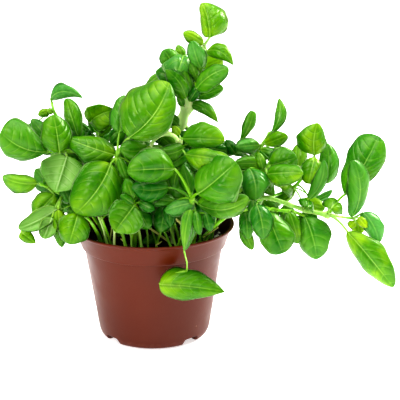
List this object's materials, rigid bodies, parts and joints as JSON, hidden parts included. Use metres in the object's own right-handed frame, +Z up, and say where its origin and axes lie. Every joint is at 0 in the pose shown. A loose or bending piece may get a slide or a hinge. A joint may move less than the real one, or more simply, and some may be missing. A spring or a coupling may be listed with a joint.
{
  "type": "potted herb plant",
  "caption": "Bushy potted basil: leafy stems rising and trailing from potting mix in a flared plastic nursery pot with a collared rim and notched foot.",
  "frame": {"origin": "centre of the flat pad under the pot, on the ground", "axes": "+Z up, +X towards the side the longest stem trails to, -Y towards the viewer"},
  "size_m": [0.2982, 0.1764, 0.2659],
  "materials": {
    "pot": "satin moulded plastic",
    "soil": "loose dark potting mix of peat and bark",
    "leaf": "fresh green leaf with a soft sheen, paler below; stems pale green"
  },
  "bodies": {
    "root": {"pot": "pot", "soil": "soil", "stem_tall": "leaf", "stem_left_mid": "leaf", "stem_left_back": "leaf", "stem_hook": "leaf", "stem_front": "leaf", "stem_drop": "leaf", "stem_right_upper": "leaf", "stem_right_mid": "leaf", "stem_far_right": "leaf", "stem_long_right": "leaf", "stem_low_right": "leaf", "stem_centre_low": "leaf", "stem_small": "leaf", "stem_left_a": "leaf", "stem_left_b": "leaf", "stem_left_low": "leaf", "stem_left_front": "leaf", "stem_left_thin": "leaf", "stem_back_a": "leaf", "stem_back_b": "leaf", "stem_back_c": "leaf", "stem_back_d": "leaf", "stem_back_e": "leaf", "stem_back_f": "leaf", "stem_back_g": "leaf"}
  },
  "joints": []
}
